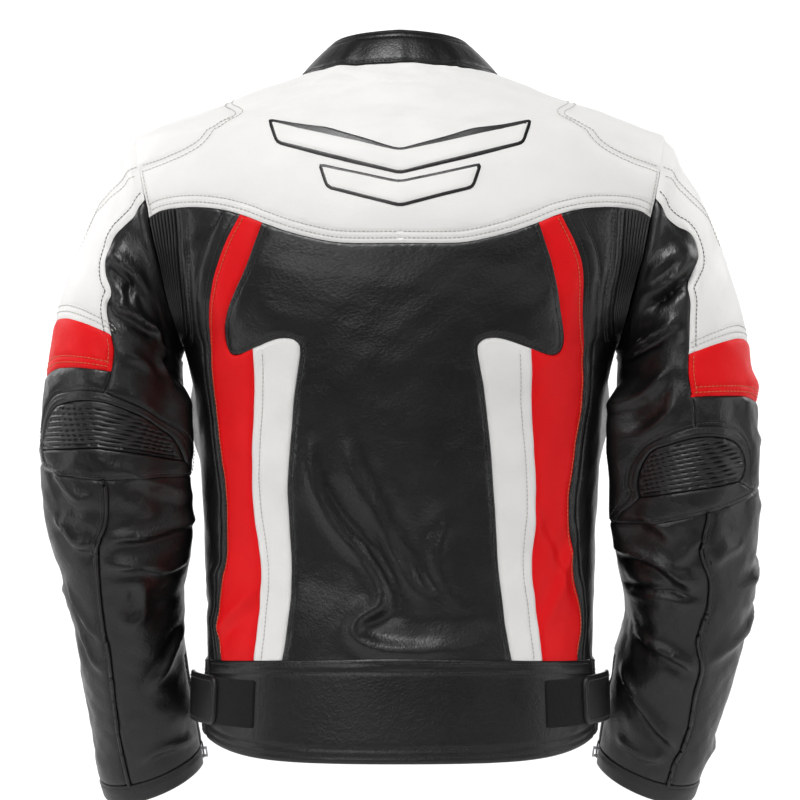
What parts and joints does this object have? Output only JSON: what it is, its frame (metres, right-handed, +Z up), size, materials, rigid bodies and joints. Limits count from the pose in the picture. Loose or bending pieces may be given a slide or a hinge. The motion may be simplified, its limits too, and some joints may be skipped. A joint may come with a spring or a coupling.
{
  "type": "leather riding jacket",
  "caption": "Zip-front leather riding jacket with stand collar, contrast yokes and stripes, ribbed stretch panels, hinged sleeves and waist adjusters.",
  "frame": {"origin": "middle of the neck opening, level with the collar seam, where the wearer's shoulders carry the jacket", "axes": "+Z up towards the collar, -Y the front with the main zip, +X the wearer's left; x = 0 is the mirror plane"},
  "size_m": [0.6716, 0.2664, 0.7304],
  "materials": {
    "black_leather": "full-grain cowhide, pebbled, semi-gloss",
    "stretch_leather": "ribbed leather over elastic, semi-gloss",
    "white_leather": "fine-grained coated leather, satin",
    "red_leather": "fine-grained coated leather, satin",
    "lining_fabric": "woven mesh lining, matt",
    "foam": "matt closed-cell foam",
    "zip_tape": "woven tape, matt",
    "zip_metal": "plated metal, lightly brushed",
    "hook_loop": "hook-and-loop pile, matt"
  },
  "bodies": {
    "torso": {"back_panel": "black_leather", "back_yoke": "white_leather", "back_white_stripes": "white_leather", "back_red_stripes": "red_leather", "side_panel_left": "black_leather", "side_panel_right": "black_leather", "stretch_gussets": "stretch_leather", "front_yokes": "white_leather", "front_panel_left": "black_leather", "front_panel_right": "black_leather", "front_red_stripes": "red_leather", "collar": "black_leather", "collar_lining": "lining_fabric", "waistband_back": "black_leather", "waistband_fronts": "black_leather", "torso_lining": "lining_fabric", "back_protector": "foam", "hanger_loop": "black_leather", "main_zip_tapes": "zip_tape", "main_zip_teeth": "zip_metal", "waist_loop_patches": "hook_loop", "pocket_zips": "zip_tape", "trouser_zip": "zip_tape", "back_emblem": "white_leather", "collar_snap_stud": "zip_metal"},
    "sleeve_left": {"sleeve_outer_left": "white_leather", "sleeve_inner_left": "black_leather", "sleeve_band_left": "red_leather", "elbow_shell_left": "black_leather", "elbow_rib_panel_left": "stretch_leather", "sleeve_lining_left": "lining_fabric", "shoulder_pad_left": "foam"},
    "forearm_left": {"forearm_panels_left": "black_leather", "cuff_band_left": "black_leather", "forearm_lining_left": "lining_fabric", "elbow_pad_left": "foam", "cuff_zip_left": "zip_tape"},
    "sleeve_right": {"sleeve_outer_right": "white_leather", "sleeve_inner_right": "black_leather", "sleeve_band_right": "red_leather", "elbow_shell_right": "black_leather", "elbow_rib_panel_right": "stretch_leather", "sleeve_lining_right": "lining_fabric", "shoulder_pad_right": "foam"},
    "forearm_right": {"forearm_panels_right": "black_leather", "cuff_band_right": "black_leather", "forearm_lining_right": "lining_fabric", "elbow_pad_right": "foam", "cuff_zip_right": "zip_tape"},
    "main_zip_slider_body": {"main_zip_slider": "zip_metal"},
    "main_zip_pull_body": {"main_zip_pull": "zip_metal"},
    "pocket_zip_slider_left_body": {"pocket_zip_slider_left": "zip_metal"},
    "pocket_zip_slider_right_body": {"pocket_zip_slider_right": "zip_metal"},
    "pocket_zip_pull_left_body": {"pocket_zip_pull_left": "zip_metal"},
    "pocket_zip_pull_right_body": {"pocket_zip_pull_right": "zip_metal"},
    "collar_tab_body": {"collar_tab": "black_leather"},
    "waist_tab_left_body": {"waist_tab_left": "black_leather"},
    "waist_tab_right_body": {"waist_tab_right": "black_leather"},
    "cuff_zip_slider_left_body": {"cuff_zip_slider_left": "zip_metal"},
    "cuff_zip_slider_right_body": {"cuff_zip_slider_right": "zip_metal"}
  },
  "joints": [
    {"name": "shoulder_left", "type": "hinge", "parent": "torso", "child": "sleeve_left", "pos_m": [0.2255, 0, -0.158], "axis": [-0.9746, 0, 0.2238], "range_deg": [-15, 40], "stiffness_Nm_per_rad": 1.6},
    {"name": "shoulder_right", "type": "hinge", "parent": "torso", "child": "sleeve_right", "pos_m": [-0.2255, 0, -0.158], "axis": [-0.9746, 0, -0.2238], "range_deg": [-15, 40], "stiffness_Nm_per_rad": 1.6},
    {"name": "elbow_left", "type": "hinge", "parent": "sleeve_left", "child": "forearm_left", "pos_m": [0.268, 0.014, -0.345], "axis": [-1, 0, 0], "range_deg": [0, 50], "stiffness_Nm_per_rad": 0.9, "deforming": ["elbow_shell_left", "elbow_rib_panel_left"]},
    {"name": "elbow_right", "type": "hinge", "parent": "sleeve_right", "child": "forearm_right", "pos_m": [-0.268, 0.014, -0.345], "axis": [-1, 0, 0], "range_deg": [0, 50], "stiffness_Nm_per_rad": 0.9, "deforming": ["elbow_shell_right", "elbow_rib_panel_right"]},
    {"name": "main_zip_slide", "type": "slide", "parent": "torso", "child": "main_zip_slider_body", "axis": [0, -0.0348, -0.9994], "range_m": [0, 0.52]},
    {"name": "main_zip_pull_swing", "type": "hinge", "parent": "main_zip_slider_body", "child": "main_zip_pull_body", "pos_m": [0, -0.11163, -0.08589], "axis": [-1, 0, 0], "range_deg": [0, 150]},
    {"name": "pocket_zip_slide_left", "type": "slide", "parent": "torso", "child": "pocket_zip_slider_left_body", "axis": [-0.0537, -0.0433, -0.9976], "range_m": [0, 0.098]},
    {"name": "pocket_zip_slide_right", "type": "slide", "parent": "torso", "child": "pocket_zip_slider_right_body", "axis": [0.0537, -0.0433, -0.9976], "range_m": [0, 0.098]},
    {"name": "pocket_zip_pull_swing_left", "type": "hinge", "parent": "pocket_zip_slider_left_body", "child": "pocket_zip_pull_left_body", "pos_m": [0.12031, -0.1048, -0.39693], "axis": [-0.9059, -0.4181, 0.0669], "range_deg": [0, 150]},
    {"name": "pocket_zip_pull_swing_right", "type": "hinge", "parent": "pocket_zip_slider_right_body", "child": "pocket_zip_pull_right_body", "pos_m": [-0.12031, -0.1048, -0.39693], "axis": [-0.9059, 0.4181, -0.0669], "range_deg": [0, 150]},
    {"name": "cuff_zip_slide_left", "type": "slide", "parent": "forearm_left", "child": "cuff_zip_slider_left_body", "axis": [0.1204, 0.3655, 0.923], "range_m": [0, 0.088]},
    {"name": "cuff_zip_slide_right", "type": "slide", "parent": "forearm_right", "child": "cuff_zip_slider_right_body", "axis": [-0.1204, 0.3655, 0.923], "range_m": [0, 0.088]},
    {"name": "collar_tab_swing", "type": "hinge", "parent": "torso", "child": "collar_tab_body", "pos_m": [0.027, -0.10389, -0.04298], "axis": [0, 0.3907, 0.9205], "range_deg": [0, 120]},
    {"name": "waist_tab_swing_left", "type": "hinge", "parent": "torso", "child": "waist_tab_left_body", "pos_m": [0.1868, 0.00683, -0.576], "axis": [0, 0, -1], "range_deg": [0, 60]},
    {"name": "waist_tab_swing_right", "type": "hinge", "parent": "torso", "child": "waist_tab_right_body", "pos_m": [-0.1868, 0.00683, -0.576], "axis": [0, 0, 1], "range_deg": [0, 60]}
  ]
}
